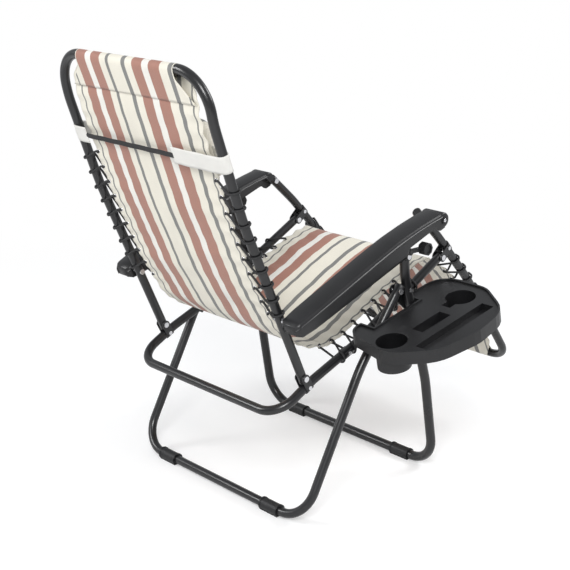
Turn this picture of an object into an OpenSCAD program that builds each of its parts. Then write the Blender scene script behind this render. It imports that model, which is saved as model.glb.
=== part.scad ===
// Folding reclining beach chair. X points forward, Y to the sitter's left, Z up, millimetres.
// Points in the side view are [x, z] pairs.

/* [Tubes] */
// Diameter of the front leg tube
front_leg_d = 24; // [20:1:25]
// Diameter of the rear leg tube
rear_leg_d = 22; // [18:1:24]
// Diameter of the seat, back and footrest tube
frame_d = 22; // [18:1:22]
// Wall of every tube
tube_wall = 1.2; // [0.8:0.1:3]
// Bend radius of the leg corners
leg_corner_r = 75; // [50:1:80]
// Bend radius of the seat and footrest corners
seat_corner_r = 60; // [50:1:80]
// Bend radius of the back corners
back_corner_r = 85; // [60:1:90]

/* [Widths] */
// Distance of the leg tubes from the middle
leg_y = 305; // [303:1:310]
// Distance of the seat, back and footrest tubes from the middle
rail_y = 260; // [250:1:262]
// Half width of the sling
sling_half_w = 222; // [200:1:230]

/* [Pivots] */
// Seat frame on the front leg
seat_pivot = [355, 468]; // [200:1:600]
// Back frame on the seat frame
back_pivot = [38, 353]; // [0:1:600]
// Footrest frame on the seat frame
foot_pivot = [511, 550]; // [0:1:600]
// Armrest on the back frame
arm_rear_pivot = [-31, 510]; // [-60:1:600]
// Armrest on the footrest frame
arm_front_pivot = [428, 673]; // [0:1:700]
// Rear leg on the leg plates
leg_pivot = [307, 515]; // [0:1:600]
// Slide lock on the top of the front leg
lock_pivot = [328, 598]; // [0:1:600]
// Diameter of the hinge pins
pin_d = 8; // [6:0.5:8]
// Radial clearance of a pin in its bore
pin_gap = 0.05; // [0.03:0.01:0.1]
// Diameter of the pin heads
head_d = 14; // [12:0.5:15]
// Height of the pin heads
head_h = 2; // [1:0.5:2.5]

/* [Sheet parts] */
// Thickness of the leg plates
plate_t = 3; // [2:0.5:3]
// Thickness of the hinge bracket sheet
bracket_t = 2.2; // [1.5:0.1:2.5]
// Length of the hinge brackets along the tube
bracket_len = 22; // [18:1:22]

/* [Sling] */
// Thickness of the sling cloth
sling_t = 3; // [2:0.5:3]
// Diameter of the elastic lacing
cord_d = 4; // [3:0.5:4]
// Distance from one eyelet to the next
lace_pitch = 40; // [36:1:44]

/* [Feet] */
// Outside diameter of the foot sleeves
foot_d = 30; // [29:0.5:31]
// Length of a foot sleeve
foot_len = 60; // [40:1:70]

/* [Headrest] */
// Thickness of the pillow
pillow_t = 64; // [40:1:70]
// Height of the pillow
pillow_h = 160; // [120:1:170]
// Half width of the pillow
pillow_half_w = 205; // [180:1:210]
// Width of the straps round the back tubes
tab_w = 40; // [30:1:40]
// Width of the elastic behind the back
elastic_w = 12; // [8:1:20]

/* [Armrests] */
// Distance of the armrest middle from the middle of the chair
arm_y = 309; // [309:1:311]
// Width of the armrest
arm_w = 63; // [60:1:64]
// Wall of the armrest
arm_wall = 3; // [2.5:0.5:3.5]
// Radius of the rounded front end
arm_nose_r = 19; // [17:1:20]

/* [Tray] */
// Rear inner corner of the tray top, its lowest line
tray_origin = [168, 438]; // [100:1:500]
// Tilt of the tray top, nose up
tray_tilt = 11.8; // [10:0.1:13]
// Height of the tray skirt
tray_skirt = 28; // [24:1:30]
// Height of the raised rim
tray_rim = 4; // [2:0.5:6]
// Wall of the tray
tray_wall = 3; // [2:0.5:3.5]
// Radius of a cup well
cup_r = 37; // [34:0.5:38]
// Depth of a cup well
cup_depth = 62; // [50:1:70]

/* [Hidden] */
$fn = 32;

left = 1;
right = -1;
front_r = front_leg_d / 2;
rear_r = rear_leg_d / 2;
frame_r = frame_d / 2;
pin_r = pin_d / 2;
bore_r = pin_r + pin_gap;
head_r = head_d / 2;
seat_gap = 0.05;
lap = 0.5;
step = 0.05;
rivet_r = 2.5;
rivet_head_r = 5;
rivet_head_h = 1.5;
cord_r = cord_d / 2;
plate_y1 = leg_y - front_r - seat_gap;
plate_y0 = plate_y1 - plate_t;
arm_in = arm_y - arm_w / 2;
arm_out = arm_y + arm_w / 2;
floor_bar_z = 13.5;
cap_t = 2;

// Side views of the bent tubes, from the upper end to the floor or cross bar
front_leg_line = [[326.9, 608], [333, 545], [421, 258], [464, floor_bar_z]];
front_leg_bends = [120, 300];
rear_leg_line = [[315.4, 526.2], [180, 345], [0, floor_bar_z]];
rear_leg_bends = [300];
seat_line = [foot_pivot + 8 * unit(foot_pivot - [215, 393]), [215, 393], [70, 338], [-42, 280]];
seat_bends = [200, 200];
back_knee = [-138, 752];
back_dir = unit(back_knee - back_pivot);
back_line = [back_pivot - 10 * back_dir, back_knee, [-213, 967], [-237, 1075]];
back_bends = [600, 250];
foot_knee = [500, 607];
foot_dir = unit(foot_knee - arm_front_pivot);
foot_line = [arm_front_pivot - 10 * foot_dir, foot_knee, [629, 466], [822, 200]];
foot_bends = [400, 500];

// Side views of the sling
back_cloth = [[-237, 1075], [-213, 967], [-138, 752], [-60, 575], [-6, 484]];
seat_cloth = [[12, 456], [48, 425], [100, 400], [156, 390], [210, 405], [300, 454], [417, 509], [480, 532], [507, 538]];
foot_cloth = [[526, 534], [560, 515], [629, 455], [700, 370], [800, 229], [822, 200]];

function unit(v) = v / norm(v);
function reversed(list) = [for (i = [len(list) - 1:-1:0]) list[i]];
function turn90(v) = [-v.y, v.x];

// Path of a U-shaped frame: down its right side, across, and up its left side
function u_path(line, y) = concat(
  [for (p = line) [p.x, -y, p.y]],
  [for (p = reversed(line)) [p.x, y, p.y]]
);
function u_bends(bends, corner_r) = concat(bends, [corner_r, corner_r], reversed(bends));

// Point at distance s along a polyline, and the direction there
function along(line, s, i = 0) =
  let (l = norm(line[i + 1] - line[i]))
  s <= l || i == len(line) - 2 ? line[i] + (line[i + 1] - line[i]) * s / l : along(line, s - l, i + 1);
function heading(line, s, i = 0) =
  let (l = norm(line[i + 1] - line[i]))
  s <= l || i == len(line) - 2 ? (line[i + 1] - line[i]) / l : heading(line, s - l, i + 1);
function line_length(line) = len(line) < 2 ? 0 : add([for (i = [1:len(line) - 1]) norm(line[i] - line[i - 1])]);
function add(list, i = 0) = i == len(list) ? 0 : list[i] + add(list, i + 1);

// Foot of the perpendicular from p to the line through a and b
function foot_on(p, a, b) = a + ((p - a) * unit(b - a)) * unit(b - a);

// Smooth curve through points, n steps to a span
function smooth(p, n) = concat(
  [for (i = [0:len(p) - 2], k = [0:n - 1])
    let (
      a = p[max(i - 1, 0)], b = p[i], c = p[i + 1], d = p[min(i + 2, len(p) - 1)], t = k / n
    )
    0.5 * (2 * b + (c - a) * t + (2 * a - 5 * b + 4 * c - d) * t * t + (3 * b - a - 3 * c + d) * t * t * t)],
  [p[len(p) - 1]]
);
function normals(p) = [for (i = [0:len(p) - 1]) turn90(unit(p[min(i + 1, len(p) - 1)] - p[max(i - 1, 0)]))];
function band(p, t) =
  let (n = normals(p))
  concat([for (i = [0:len(p) - 1]) p[i] + n[i] * t / 2], [for (i = [len(p) - 1:-1:0]) p[i] - n[i] * t / 2]);

// Turn the Z axis to z_dir and the X axis to x_dir
module orient(z_dir, x_dir) {
  b = acos(z_dir.z);
  c = atan2(z_dir.y, z_dir.x);
  ex = [cos(b) * cos(c), cos(b) * sin(c), -sin(b)];
  ey = [-sin(c), cos(c), 0];
  rotate([0, b, c])
    rotate([0, 0, atan2(x_dir * ey, x_dir * ex)])
      children();
}

module ring(r, wall) {
  difference() {
    circle(r);
    circle(r - wall);
  }
}

// Round tube bent along a path; straights run a little way into the bends
module tube(pts, bends, r) {
  n = len(pts);
  dirs = [for (i = [0:n - 2]) unit(pts[i + 1] - pts[i])];
  cut = [for (i = [0:n - 1]) i == 0 || i == n - 1 ? 0 : bends[i - 1] * tan(acos(dirs[i - 1] * dirs[i]) / 2)];
  for (i = [0:n - 2]) {
    before = i == 0 ? 0 : lap;
    after = i == n - 2 ? 0 : lap;
    across = abs(dirs[i].z) < 0.9 ? unit(cross([0, 0, 1], dirs[i])) : unit(cross([1, 0, 0], dirs[i]));
    translate(pts[i] + (cut[i] - before) * dirs[i])
      orient(dirs[i], across)
        linear_extrude(norm(pts[i + 1] - pts[i]) - cut[i] - cut[i + 1] + before + after)
          ring(r, tube_wall);
  }
  for (i = [1:n - 2]) {
    inward = unit(dirs[i] - (dirs[i - 1] * dirs[i]) * dirs[i - 1]);
    translate(pts[i] - cut[i] * dirs[i - 1] + bends[i - 1] * inward)
      orient(unit(cross(dirs[i - 1], inward)), -inward)
        rotate_extrude(angle = acos(dirs[i - 1] * dirs[i]))
          translate([bends[i - 1], 0])
            ring(r + step, tube_wall + 2 * step);
  }
}

// Cylinder across the chair at a side view point, from y0 to y1
module across(p, y0, y1, r) {
  translate([p.x, y0, p.y])
    rotate([-90, 0, 0])
      cylinder(r = r, h = y1 - y0);
}

// Side view shape extruded across the chair from y0 to y1
module slab(y0, y1) {
  translate([0, y1, 0])
    rotate([90, 0, 0])
      linear_extrude(y1 - y0)
        children();
}

module both_sides() {
  children();
  mirror([0, 1, 0]) children();
}

module on_side(side) {
  mirror([0, side == left ? 0 : 1, 0]) children();
}

// Straight bar with round ends in the side view
module link(a, b, r) {
  translate(a) circle(r);
  translate(b) circle(r);
  translate(a)
    rotate(atan2(b.y - a.y, b.x - a.x))
      translate([0, -r])
        square([norm(b - a), 2 * r]);
}

// Frame of the armrest: u along it from the rear pivot to the front one, v up from that line
arm_dir = unit(arm_front_pivot - arm_rear_pivot);
arm_len = norm(arm_front_pivot - arm_rear_pivot);
arm_angle = atan2(arm_dir.y, arm_dir.x);
module arm_frame() {
  translate([arm_rear_pivot.x, 0, arm_rear_pivot.y])
    rotate([0, -arm_angle, 0])
      children();
}
lock_u = (lock_pivot - arm_rear_pivot) * arm_dir;
lock_v = (lock_pivot - arm_rear_pivot) * turn90(arm_dir);

// ---------------------------------------------------------------- legs

plate_rivet_point = [342, 512];

module front_leg_frame() {
  color("black")
    difference() {
      tube(u_path(front_leg_line, leg_y), u_bends(front_leg_bends, leg_corner_r), front_r);
      across(seat_pivot, -leg_y - 20, leg_y + 20, bore_r);
      across(lock_pivot, -leg_y - 20, leg_y + 20, bore_r);
      across(plate_rivet_point, -leg_y - 20, leg_y + 20, rivet_r + pin_gap);
    }
}

// Plug in a tube end: a disc over the end and a spigot inside
module end_plug(line, y, r, spigot) {
  outward = unit(line[0] - line[1]);
  translate([line[0].x, y, line[0].y])
    orient([outward.x, 0, outward.y], [0, 1, 0]) {
      cylinder(r = r, h = cap_t);
      translate([0, 0, -spigot])
        cylinder(r = r - tube_wall - seat_gap, h = spigot + lap);
    }
}

module front_leg_caps() {
  color("black") both_sides() end_plug(front_leg_line, leg_y, front_r, 4);
}

// Moulded sleeve on a floor bar, flat where it stands
module foot_sleeve(line, tube_r) {
  bar = line[len(line) - 1];
  foot_r = foot_d / 2;
  lip = 4;
  y0 = 165;
  sole_half_w = 11;
  groove_w = 3;
  difference() {
    union() {
      across(bar, y0, y0 + foot_len, foot_r);
      across(bar, y0, y0 + lip, foot_r + 1);
      across(bar, y0 + foot_len - lip, y0 + foot_len, foot_r + 1);
      translate([bar.x - sole_half_w, y0, 0])
        cube([2 * sole_half_w, foot_len, bar.y]);
    }
    across(bar, y0 - 1, y0 + foot_len + 1, tube_r + seat_gap);
    translate([bar.x - 2 * foot_r, y0 - 1, -foot_r])
      cube([4 * foot_r, foot_len + 2, foot_r]);
    for (k = [1:4])
      translate([bar.x - 2 * foot_r, y0 + k * foot_len / 5 - groove_w / 2, -1])
        cube([4 * foot_r, groove_w, 1.6]);
  }
}

module front_foot(side) {
  color("dimgray") on_side(side) foot_sleeve(front_leg_line, front_r);
}
module front_foot_left() front_foot(left);
module front_foot_right() front_foot(right);

module leg_plate(side) {
  color("black")
    on_side(side)
      difference() {
        slab(plate_y0, plate_y1)
          hull() {
            translate(seat_pivot) circle(12);
            translate(leg_pivot) circle(13);
            translate(plate_rivet_point) circle(10);
          }
        across(seat_pivot, plate_y0 - 1, plate_y1 + 1, bore_r);
        across(leg_pivot, plate_y0 - 1, plate_y1 + 1, bore_r);
        across(plate_rivet_point, plate_y0 - 1, plate_y1 + 1, rivet_r + pin_gap);
      }
}
module leg_plate_left() leg_plate(left);
module leg_plate_right() leg_plate(right);

// Pin across the left side with a head at each end, mirrored to the right
module pins(p, y0, y1, r, hr, hh) {
  both_sides() {
    across(p, y0 - lap, y1 + lap, r);
    across(p, y0 - hh, y0, hr);
    across(p, y1, y1 + hh, hr);
  }
}

module leg_plate_rivets() {
  color("silver")
    pins(plate_rivet_point, plate_y0 - seat_gap, leg_y + front_r + seat_gap, rivet_r, rivet_head_r, rivet_head_h);
}

module leg_pivot_rivets() {
  color("silver") {
    pins(leg_pivot, plate_y0 - seat_gap, leg_y + rear_r + 0.3, pin_r, head_r, head_h);
    both_sides()
      difference() {
        across(leg_pivot, plate_y1 + seat_gap, leg_y - rear_r - seat_gap, head_r);
        across(leg_pivot, plate_y1 - 1, leg_y, pin_r - lap);
      }
  }
}

module seat_pivot_rivets() {
  color("silver") pins(seat_pivot, rail_y - frame_r - 0.3, leg_y + front_r + seat_gap, pin_r, head_r, head_h);
}

module seat_pivot_spacers() {
  color("gainsboro")
    both_sides()
      difference() {
        across(seat_pivot, rail_y + frame_r + 0.2, plate_y0 - seat_gap, 8);
        across(seat_pivot, rail_y, plate_y1, bore_r);
      }
}

// ---------------------------------------------------------------- locks

cheek_t = 3;
cheek_gap = 0.3;
cheek_in = leg_y - front_r - cheek_gap;
cheek_out = leg_y + front_r + cheek_gap;

module lock_pivot_rivets() {
  color("silver")
    pins(lock_pivot, cheek_in - cheek_t - cheek_gap, cheek_out + cheek_t + cheek_gap, pin_r, head_r, head_h);
}

module rear_leg_frame() {
  color("black")
    difference() {
      tube(u_path(rear_leg_line, leg_y), u_bends(rear_leg_bends, leg_corner_r), rear_r);
      across(leg_pivot, -leg_y - 20, leg_y + 20, bore_r);
    }
}

module rear_leg_caps() {
  color("black") both_sides() end_plug(rear_leg_line, leg_y, rear_r, 4);
}

module rear_foot(side) {
  color("dimgray") on_side(side) foot_sleeve(rear_leg_line, rear_r);
}
module rear_foot_left() rear_foot(left);
module rear_foot_right() rear_foot(right);

// ---------------------------------------------------------------- seat frame

back_seat_point = foot_on(back_pivot, seat_line[2], seat_line[3]);
clip_point = [181, 380.1];

module seat_frame() {
  color("black")
    difference() {
      tube(u_path(seat_line, rail_y), u_bends(seat_bends, seat_corner_r), frame_r);
      across(seat_pivot, -rail_y - 20, rail_y + 20, bore_r);
      across(foot_pivot, -rail_y - 20, rail_y + 20, bore_r);
      across(back_seat_point, -rail_y - 20, rail_y + 20, rivet_r + pin_gap);
      across(clip_point, -rail_y - 20, rail_y + 20, rivet_r + pin_gap);
    }
}

module seat_end_caps() {
  color("black") both_sides() end_plug(seat_line, rail_y, frame_r, 2.5);
}

// U of sheet round a tube at c, with ears that reach to the pivot p
module saddle(c, p, side) {
  up = unit(p - c);
  reach = norm(p - c);
  in_r = frame_r + 0.3;
  out_r = in_r + bracket_t;
  ear_r = bracket_len / 2;
  on_side(side)
    difference() {
      translate([c.x, rail_y, c.y])
        rotate([0, atan2(up.x, up.y), 0])
          union() {
            difference() {
              translate([-ear_r, 0, 0])
                rotate([0, 90, 0])
                  cylinder(r = out_r, h = bracket_len);
              translate([-ear_r - 1, -out_r - 1, 0])
                cube([bracket_len + 2, 2 * out_r + 2, out_r + 1]);
              translate([-ear_r - 1, 0, 0])
                rotate([0, 90, 0])
                  cylinder(r = in_r, h = bracket_len + 2);
            }
            for (s = [-1, 1])
              translate([0, s * (in_r + bracket_t / 2), 0]) {
                translate([-ear_r, -bracket_t / 2, 0])
                  cube([bracket_len, bracket_t, reach]);
                translate([0, 0, reach])
                  rotate([90, 0, 0])
                    cylinder(r = ear_r, h = bracket_t, center = true);
              }
          }
      across(p, rail_y - 20, rail_y + 20, bore_r);
      across(c, rail_y - 20, rail_y + 20, rivet_r + pin_gap);
    }
}

ear_in = rail_y - frame_r - 0.3 - bracket_t;
ear_out = rail_y + frame_r + 0.3 + bracket_t;

module back_bracket_left() color("dimgray") saddle(back_seat_point, back_pivot, left);
module back_bracket_right() color("dimgray") saddle(back_seat_point, back_pivot, right);

module bracket_rivets() {
  color("silver")
    pins(back_seat_point, ear_in - seat_gap, ear_out + seat_gap, rivet_r, rivet_head_r, rivet_head_h);
}

module rail_clips() {
  clip_len = 24;
  up = turn90(unit(seat_line[1] - seat_line[2]));
  in_r = frame_r + 0.3;
  out_r = in_r + bracket_t;
  color("dimgray")
    both_sides()
      difference() {
        translate([clip_point.x, rail_y, clip_point.y])
          rotate([0, atan2(up.x, up.y), 0])
            difference() {
              union() {
                translate([-clip_len / 2, 0, 0])
                  rotate([0, 90, 0])
                    cylinder(r = out_r, h = clip_len);
              }
              translate([-clip_len, -2 * out_r, rivet_head_r + 1])
                cube([2 * clip_len, 4 * out_r, out_r]);
              translate([-clip_len, 0, 0])
                rotate([0, 90, 0])
                  cylinder(r = in_r, h = 2 * clip_len);
            }
        across(clip_point, rail_y - 20, rail_y + 20, rivet_r + pin_gap);
      }
}

module rail_clip_rivets() {
  color("silver")
    pins(clip_point, ear_in - seat_gap, ear_out + seat_gap, rivet_r, rivet_head_r, rivet_head_h);
}

module back_pivot_rivets() {
  color("silver") pins(back_pivot, ear_in - seat_gap, ear_out + seat_gap, pin_r, head_r, head_h);
}

module foot_pivot_rivets() {
  color("silver") pins(foot_pivot, ear_in - seat_gap, ear_out + seat_gap, pin_r, head_r, head_h);
}

// ---------------------------------------------------------------- sling

eyelet_y = sling_half_w - 9;
lace_lift = 6;
lace_slack = 2.6;
lace_edge = 4;
eyelet_r = cord_r + 1.4;
hole_reach = 30;
seat_stations = [for (k = [0:10]) k * lace_pitch + 64];
back_stations = [for (k = [0:9]) k * lace_pitch + 245];
foot_stations = [for (k = [0:7]) k * lace_pitch + 40];
seat_curve = smooth(seat_cloth, 4);
back_curve = smooth(back_cloth, 4);
foot_curve = smooth(foot_cloth, 4);

module cloth(curve, stations) {
  difference() {
    slab(-sling_half_w, sling_half_w) polygon(band(curve, sling_t));
    for (s = stations, side = [-1, 1]) {
      p = along(curve, s);
      n = turn90(heading(curve, s));
      translate([p.x - n.x * hole_reach / 2, side * eyelet_y, p.y - n.y * hole_reach / 2])
        orient([n.x, 0, n.y], [0, 1, 0])
          cylinder(r = eyelet_r, h = hole_reach);
    }
  }
}

// Sleeve of cloth round a cross bar
module cloth_sleeve(bar, half_w) {
  difference() {
    across(bar, -half_w, half_w, frame_r + seat_gap + sling_t);
    across(bar, -half_w - 1, half_w + 1, frame_r + seat_gap);
  }
}

// The cloth without what the bar and the sleeve take
module hemmed_cloth(curve, stations, bar, inward, half_w) {
  cloth_sleeve(bar, half_w);
  difference() {
    cloth(curve, stations);
    across(bar, -sling_half_w - 1, sling_half_w + 1, frame_r + seat_gap + sling_t / 2);
    corner_cuts(bar, inward, half_w);
  }
}

// Slanting cuts from the ends of the sleeve to the edges, which leave the corners of the frame free
module corner_cuts(bar, inward, half_w) {
  n = turn90(inward);
  reach = sling_half_w + 1;
  start = frame_r + sling_t;
  for (side = [-1, 1])
    translate([bar.x - n.x * hole_reach, 0, bar.y - n.y * hole_reach])
      orient([n.x, 0, n.y], [0, side, 0])
        linear_extrude(2 * hole_reach)
          polygon([
            [half_w, side * (frame_r + 2 * sling_t)],
            [half_w, -side * start],
            [reach, -side * (start + (reach - half_w) * tan(corner_slant))],
            [reach, side * (frame_r + 2 * sling_t)],
          ]);
}

corner_slant = 29;
sleeve_gap = 4;
back_in = unit(back_line[2] - back_line[3]);
foot_in = unit(foot_line[2] - foot_line[3]);
module sling_seat() color("wheat") cloth(seat_curve, seat_stations);
module sling_back() {
  color("wheat") hemmed_cloth(back_curve, back_stations, back_line[3], back_in, rail_y - back_corner_r - sleeve_gap);
}
module sling_foot() {
  color("wheat") hemmed_cloth(foot_curve, foot_stations, foot_line[3], foot_in, rail_y - seat_corner_r - sleeve_gap);
}

// Route of the elastic: through each eyelet and round the tube between two eyelets
function lace_route(curve, stations, tube_line, tube_start) =
  let (turn_r = frame_r + cord_r + lace_slack, half = lace_pitch / 2)
  [for (i = [0:len(stations) - 1])
    let (
      s = stations[i], hole = along(curve, s), hn = turn90(heading(curve, s)),
      next = along(curve, s + lace_pitch), nn = turn90(heading(curve, s + lace_pitch)),
      loop_s = tube_start + s - stations[0] + half,
      c = along(tube_line, loop_s), t = heading(tube_line, loop_s), cn = hn * turn90(t) > 0 ? turn90(t) : -turn90(t),
      leave = -wrap_angle((c - hole + hn * lace_lift) * cn, turn_r),
      enter = wrap_angle((next + nn * lace_lift - c) * cn, turn_r)
    )
    each concat(
      i == 0 ? [] : [edge_point(hole, hn, lace_edge)],
      [for (h = [lace_lift, -lace_lift]) [hole.x + hn.x * h, eyelet_y, hole.y + hn.y * h]],
      i == len(stations) - 1 ? [] : [edge_point(hole, hn, -lace_edge)],
      i == len(stations) - 1 ? [] :
      [for (k = [0:4])
        let (a = leave + (enter - leave) * k / 4, p = c + t * (k - 2) + cn * turn_r * sin(a))
        [p.x, rail_y + turn_r * cos(a), p.y]]
    )];

// Where the cord passes the edge of the cloth, h off its middle
function edge_point(hole, n, h) = [hole.x + n.x * h, sling_half_w + lace_edge, hole.y + n.y * h];

// Angle round the tube, from its outer side, where the cord touches it on its way from an eyelet
// that lies h to that side of the tube
function wrap_angle(h, turn_r) =
  let (d = rail_y - eyelet_y)
  180 - atan2(h, d) - acos(turn_r / norm([d, h]));

function tangents(p) = [for (i = [0:len(p) - 1])
  unit(unit(p[min(i + 1, len(p) - 1)] - p[min(i, len(p) - 2)]) + unit(p[max(i, 1)] - p[max(i - 1, 0)]))];

module swept_cord(p, r) {
  sides = 8;
  t = tangents(p);
  e = [for (
    i = 0, v = unit(cross(t[0], [0.3, 1, 0.2]));
    i < len(p);
    i = i + 1, v = i < len(p) ? unit(v - (v * t[i]) * t[i]) : v
  ) v];
  pts = [for (i = [0:len(p) - 1], k = [0:sides - 1])
    let (a = 360 * k / sides, w = cross(t[i], e[i]))
    p[i] + r * (cos(a) * e[i] + sin(a) * w)];
  last = len(p) - 1;
  polyhedron(
    points = pts,
    faces = concat(
      [[for (k = [sides - 1:-1:0]) k]],
      [for (i = [0:last - 1], k = [0:sides - 1], half = [0, 1])
        let (k2 = (k + 1) % sides, a = i * sides, b = a + sides)
        half == 0 ? [a + k, a + k2, b + k2] : [a + k, b + k2, b + k]],
      [[for (k = [0:sides - 1]) last * sides + k]]
    )
  );
}

back_tube_down = reversed([for (i = [0:3]) back_line[i]]);
seat_tube_forward = reversed([for (i = [0:3]) seat_line[i]]);
seat_lace_start = 124;
foot_lace_start = 190;
module lacing(side, curve, stations, tube_line, tube_start) {
  color("black")
    multmatrix([[1, 0, 0, 0], [0, side, 0, 0], [0, 0, 1, 0]])
      swept_cord(lace_route(curve, stations, tube_line, tube_start), cord_r);
}
module seat_lacing(side) lacing(side, seat_curve, seat_stations, seat_tube_forward, seat_lace_start);
module back_lacing(side) lacing(side, back_curve, back_stations, back_tube_down, back_stations[0]);
module foot_lacing(side) lacing(side, foot_curve, foot_stations, foot_line, foot_lace_start);
module seat_lacing_left() seat_lacing(left);
module seat_lacing_right() seat_lacing(right);
module back_lacing_left() back_lacing(left);
module back_lacing_right() back_lacing(right);
module foot_lacing_left() foot_lacing(left);
module foot_lacing_right() foot_lacing(right);

// ---------------------------------------------------------------- back frame

module back_frame() {
  color("black")
    difference() {
      tube(u_path(back_line, rail_y), u_bends(back_bends, back_corner_r), frame_r);
      across(back_pivot, -rail_y - 20, rail_y + 20, bore_r);
      across(arm_rear_pivot, -rail_y - 20, rail_y + 20, bore_r);
    }
}

module back_end_caps() {
  color("black") both_sides() end_plug(back_line, rail_y, frame_r, 4);
}

arm_bore_depth = 52;
module armrest_rear_rivets() {
  color("silver")
    both_sides() {
      across(arm_rear_pivot, rail_y - frame_r - seat_gap - lap, arm_in + arm_bore_depth - 1, pin_r);
      across(arm_rear_pivot, rail_y - frame_r - seat_gap - head_h, rail_y - frame_r - seat_gap, head_r);
      across(arm_rear_pivot, rail_y + frame_r + seat_gap, arm_in - 0.2, head_r);
    }
}

// ---------------------------------------------------------------- headrest

strap_line = [back_line[1], back_line[2]];
strap_dir = unit(strap_line[1] - strap_line[0]);
strap_front = -turn90(strap_dir);
strap_rise = 141;
strap_point = strap_line[0] + strap_dir * strap_rise;
tab_gap = 0.4;
tab_t = 2;
pillow_gap = 0.6;

// Frame on the back tubes: x forward off the cloth, z up along the tubes
module strap_frame() {
  translate([strap_point.x, 0, strap_point.y])
    rotate([0, atan2(strap_dir.x, strap_dir.y), 0])
      children();
}

module headrest_pillow() {
  edge_r = 26;
  color("wheat")
    strap_frame()
      translate([sling_t / 2 + pillow_gap + pillow_t / 2, 0, 0])
        hull()
          for (z = [-1, 1], y = [-1, 1]) {
            translate([pillow_t / 2 - edge_r, y * (pillow_half_w - edge_r), z * (pillow_h / 2 - edge_r)])
              sphere(r = edge_r, $fn = 24);
            translate([edge_r - pillow_t / 2, y * (pillow_half_w - edge_r), z * (pillow_h / 2 - edge_r)])
              sphere(r = edge_r, $fn = 24);
          }
}

// Strap round one tube; in front it reaches the pillow, behind it reaches rear_y
module headrest_tab(side, rear_y) {
  in_r = frame_r + tab_gap;
  out_r = in_r + tab_t;
  color("ivory")
    on_side(side)
      strap_frame() {
        difference() {
          union() {
            translate([0, rail_y, -tab_w / 2])
              cylinder(r = out_r, h = tab_w);
            translate([-out_r, rear_y, -tab_w / 2])
              cube([tab_t, rail_y - rear_y, tab_w]);
            translate([in_r, pillow_half_w + 0.3, -tab_w / 2])
              cube([tab_t, rail_y - pillow_half_w - 0.3, tab_w]);
          }
          translate([0, rail_y, -tab_w])
            cylinder(r = in_r, h = 2 * tab_w);
        }
      }
}
tab_left_end = 217;
tab_right_end = 100;
module headrest_tab_left() headrest_tab(left, tab_left_end);
module headrest_tab_right() headrest_tab(right, tab_right_end);

module headrest_elastic() {
  color("black")
    strap_frame()
      translate([-frame_r - tab_gap - tab_t, -tab_right_end, -elastic_w / 2])
        cube([tab_t, tab_right_end + tab_left_end, elastic_w]);
}

// ---------------------------------------------------------------- footrest

foot_seat_point = foot_on(foot_pivot, foot_line[1], foot_line[2]);

module footrest_frame() {
  color("black")
    difference() {
      tube(u_path(foot_line, rail_y), u_bends(foot_bends, seat_corner_r), frame_r);
      across(arm_front_pivot, -rail_y - 20, rail_y + 20, bore_r);
      across(foot_seat_point, -rail_y - 20, rail_y + 20, rivet_r + pin_gap);
    }
}

module foot_end_caps() {
  color("black") both_sides() end_plug(foot_line, rail_y, frame_r, 4);
}

module foot_bracket_left() color("dimgray") saddle(foot_seat_point, foot_pivot, left);
module foot_bracket_right() color("dimgray") saddle(foot_seat_point, foot_pivot, right);

module foot_bracket_rivets() {
  color("silver")
    pins(foot_seat_point, ear_in - seat_gap, ear_out + seat_gap, rivet_r, rivet_head_r, rivet_head_h);
}

stud_reach = 24;
module armrest_front_studs() {
  color("silver")
    both_sides() {
      across(arm_front_pivot, rail_y - frame_r - seat_gap - lap, arm_in + stud_reach, pin_r);
      across(arm_front_pivot, rail_y - frame_r - seat_gap - head_h, rail_y - frame_r - seat_gap, head_r);
      across(arm_front_pivot, rail_y + frame_r + seat_gap, arm_in - 0.3, head_r);
    }
}

// ---------------------------------------------------------------- armrests

// Stations of the shell: u, top, bottom, width
arm_stations = [
  [-22, 8, -12, 40], [-10, 15, -19, 58], [30, 18, -21, 63], [150, 24, -21, 63],
  [250, 29, -21, 63], [330, 31, -21, 63], [400, 28, -21, 63], [450, 23.5, -20, 63],
  [480, 18.6, -18.6, 62.9],
];
arm_edge_r = 7;
cavity_u = [10, 467];
rail_u = [285, 467];
rail_ceiling = 11.2;
bay_u = [350, 465];
bay_v = -4;
rib_t = 2.5;
front_play = 1.2;

// Outline of the shell across the armrest at one station, as points [u, y, v]
function arm_section(s) =
  let (hw = min(s[3], arm_w) / 2, low_r = 3)
  concat(
    [for (a = [0:22.5:90]) [s[0], arm_y + hw - arm_edge_r * (1 - cos(a)), s[1] - arm_edge_r * (1 - sin(a))]],
    [for (a = [90:22.5:180]) [s[0], arm_y - hw + arm_edge_r * (1 + cos(a)), s[1] - arm_edge_r * (1 - sin(a))]],
    [for (a = [180:45:270]) [s[0], arm_y - hw + low_r * (1 + cos(a)), s[2] + low_r * (1 + sin(a))]],
    [for (a = [270:45:360]) [s[0], arm_y + hw - low_r * (1 - cos(a)), s[2] + low_r * (1 + sin(a))]]
  );

// Solid through the sections, each joined to the next by triangles
module arm_loft(stations) {
  sections = [for (s = stations) arm_section(s)];
  m = len(sections[0]);
  last = len(sections) - 1;
  polyhedron(
    points = [for (c = sections) each c],
    faces = concat(
      [[for (k = [0:m - 1]) k]],
      [for (i = [0:last - 1], k = [0:m - 1], half = [0, 1])
        let (k2 = (k + 1) % m, a = i * m, b = a + m)
        half == 0 ? [a + k, b + k, b + k2] : [a + k, b + k2, a + k2]],
      [[for (k = [m - 1:-1:0]) last * m + k]]
    )
  );
}

// Rounded roll at the front end
module arm_nose() {
  edge = 5;
  translate([arm_len, arm_in, 0])
    rotate([-90, 0, 0])
      rotate_extrude()
        polygon([
          [0, 0], [arm_nose_r - edge, 0], [arm_nose_r - 1.5, 1.5], [arm_nose_r, edge],
          [arm_nose_r, arm_w - edge], [arm_nose_r - 1.5, arm_w - 1.5], [arm_nose_r - edge, arm_w], [0, arm_w],
        ]);
}

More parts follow.
